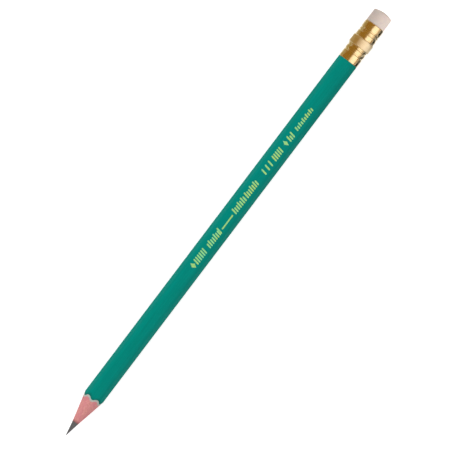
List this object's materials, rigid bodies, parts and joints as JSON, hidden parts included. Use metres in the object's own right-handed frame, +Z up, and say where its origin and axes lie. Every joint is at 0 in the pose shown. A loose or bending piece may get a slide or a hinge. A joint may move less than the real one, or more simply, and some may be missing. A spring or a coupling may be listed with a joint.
{
  "type": "graphite pencil",
  "caption": "Sharpened hexagonal graphite pencil with a moulded casing under a coloured skin, a crimped sheet-metal ferrule and a plug eraser.",
  "frame": {"origin": "middle of the pencil's length, on the pencil's centre plane, at the level of its lowest point, which is the underside of the ferrule's raised band", "axes": "+X along the pencil from the point to the eraser; +Z up, out of the flat that carries the foil stamp; +Y completes the right-handed frame, towards the top edge of the stamp"},
  "size_m": [0.19, 0.0084, 0.0084],
  "materials": {
    "graphite": "satin",
    "casing_resin": "matte",
    "undercoat": "matte",
    "skin_colour": "satin",
    "ferrule_metal": "gloss",
    "eraser_rubber": "matte",
    "foil": "satin"
  },
  "bodies": {
    "root": {"graphite_lead": "graphite", "casing": "casing_resin", "undercoat": "undercoat", "colour_skin": "skin_colour", "ferrule": "ferrule_metal", "eraser": "eraser_rubber"}
  },
  "joints": []
}
